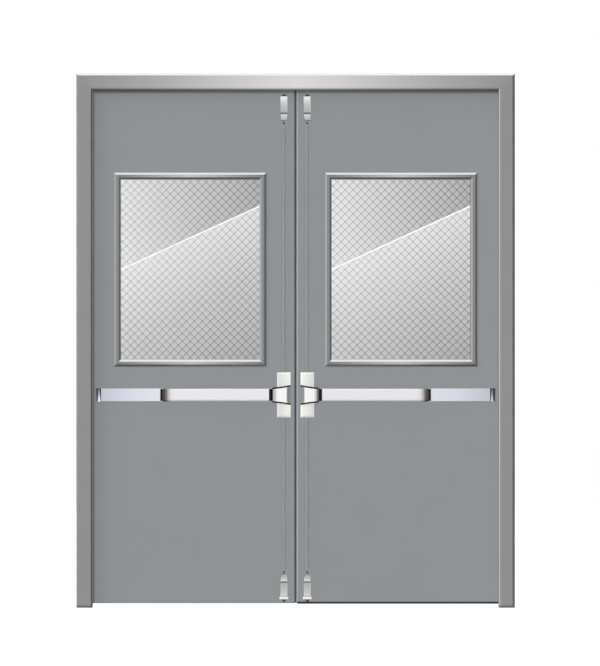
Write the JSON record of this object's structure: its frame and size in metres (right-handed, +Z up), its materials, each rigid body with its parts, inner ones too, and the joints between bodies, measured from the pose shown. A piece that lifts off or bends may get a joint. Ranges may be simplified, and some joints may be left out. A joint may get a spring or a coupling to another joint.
{
  "type": "double fire door",
  "caption": "Double-leaf steel fire door in a folded steel frame, with wired glass windows, push bars and vertical rod latches.",
  "frame": {"origin": "underside of the left jamb's floor anchor, at the middle of its plate", "axes": "+X along the doorway from the left jamb to the right one, +Y from the push side to the pull side, +Z up"},
  "size_m": [1.806, 0.133, 2.2],
  "materials": {
    "frame_steel": "satin grey paint on folded sheet",
    "leaf_paint": "smooth satin grey paint",
    "core_board": "mineral board",
    "wired_glass": "clear glass with a wire mesh",
    "trim_steel": "brushed steel moulding",
    "black_tape": "black glazing tape",
    "satin_steel": "satin stainless steel",
    "dark_plastic": "black moulded plastic",
    "hinge_steel": "satin steel",
    "zinc_steel": "zinc plated steel"
  },
  "bodies": {
    "frame": {"left_jamb": "frame_steel", "right_jamb": "frame_steel", "frame_head": "frame_steel", "top_strikes": "zinc_steel", "floor_anchors": "zinc_steel", "left_wall_anchors": "zinc_steel", "right_wall_anchors": "zinc_steel", "left_frame_hinges": "hinge_steel", "right_frame_hinges": "hinge_steel"},
    "left_leaf": {"left_push_skin": "leaf_paint", "left_pull_skin": "leaf_paint", "left_core": "core_board", "left_end_channels": "leaf_paint", "left_glass": "wired_glass", "left_push_trim": "trim_steel", "left_pull_trim": "trim_steel", "left_glazing_seals": "black_tape", "left_leaf_hinges": "hinge_steel", "left_rail": "satin_steel", "left_rail_cover": "satin_steel", "left_rail_end_cap": "satin_steel", "left_centre_case": "satin_steel", "left_head_cover": "satin_steel", "left_top_latch": "satin_steel", "left_bottom_latch": "satin_steel"},
    "left_push_pad": {"left_pad": "satin_steel", "left_pad_caps": "dark_plastic"},
    "left_upper_rod": {"left_top_rod": "leaf_paint"},
    "left_lower_rod": {"left_bottom_rod": "leaf_paint"},
    "right_leaf": {"right_push_skin": "leaf_paint", "right_pull_skin": "leaf_paint", "right_core": "core_board", "right_end_channels": "leaf_paint", "right_glass": "wired_glass", "right_push_trim": "trim_steel", "right_pull_trim": "trim_steel", "right_glazing_seals": "black_tape", "right_leaf_hinges": "hinge_steel", "right_rail": "satin_steel", "right_rail_cover": "satin_steel", "right_rail_end_cap": "satin_steel", "right_centre_case": "satin_steel", "right_head_cover": "satin_steel", "right_top_latch": "satin_steel", "right_bottom_latch": "satin_steel"},
    "right_push_pad": {"right_pad": "satin_steel", "right_pad_caps": "dark_plastic"},
    "right_upper_rod": {"right_top_rod": "leaf_paint"},
    "right_lower_rod": {"right_bottom_rod": "leaf_paint"}
  },
  "joints": [
    {"name": "left_leaf_swing", "type": "hinge", "parent": "frame", "child": "left_leaf", "pos_m": [0.0245, 0.058, 1], "axis": [0, 0, 1], "range_deg": [0, 180]},
    {"name": "left_pad_press", "type": "slide", "parent": "left_leaf", "child": "left_push_pad", "axis": [0, 1, 0], "range_m": [0, 0.018], "stiffness_N_per_m": 1500, "springref_m": -0.012},
    {"name": "left_upper_rod_draw", "type": "slide", "parent": "left_leaf", "child": "left_upper_rod", "axis": [0, 0, -1], "range_m": [0, 0.012]},
    {"name": "left_lower_rod_draw", "type": "slide", "parent": "left_leaf", "child": "left_lower_rod", "axis": [0, 0, 1], "range_m": [0, 0.012]},
    {"name": "right_leaf_swing", "type": "hinge", "parent": "frame", "child": "right_leaf", "pos_m": [1.7255, 0.058, 1], "axis": [0, 0, -1], "range_deg": [0, 180]},
    {"name": "right_pad_press", "type": "slide", "parent": "right_leaf", "child": "right_push_pad", "axis": [0, 1, 0], "range_m": [0, 0.018], "stiffness_N_per_m": 1500, "springref_m": -0.012},
    {"name": "right_upper_rod_draw", "type": "slide", "parent": "right_leaf", "child": "right_upper_rod", "axis": [0, 0, -1], "range_m": [0, 0.012]},
    {"name": "right_lower_rod_draw", "type": "slide", "parent": "right_leaf", "child": "right_lower_rod", "axis": [0, 0, 1], "range_m": [0, 0.012]}
  ],
  "couplings": [
    {"joint": "left_upper_rod_draw", "follows": "left_pad_press", "ratio": 0.6666},
    {"joint": "left_lower_rod_draw", "follows": "left_pad_press", "ratio": 0.6666},
    {"joint": "right_upper_rod_draw", "follows": "right_pad_press", "ratio": 0.6666},
    {"joint": "right_lower_rod_draw", "follows": "right_pad_press", "ratio": 0.6666}
  ]
}
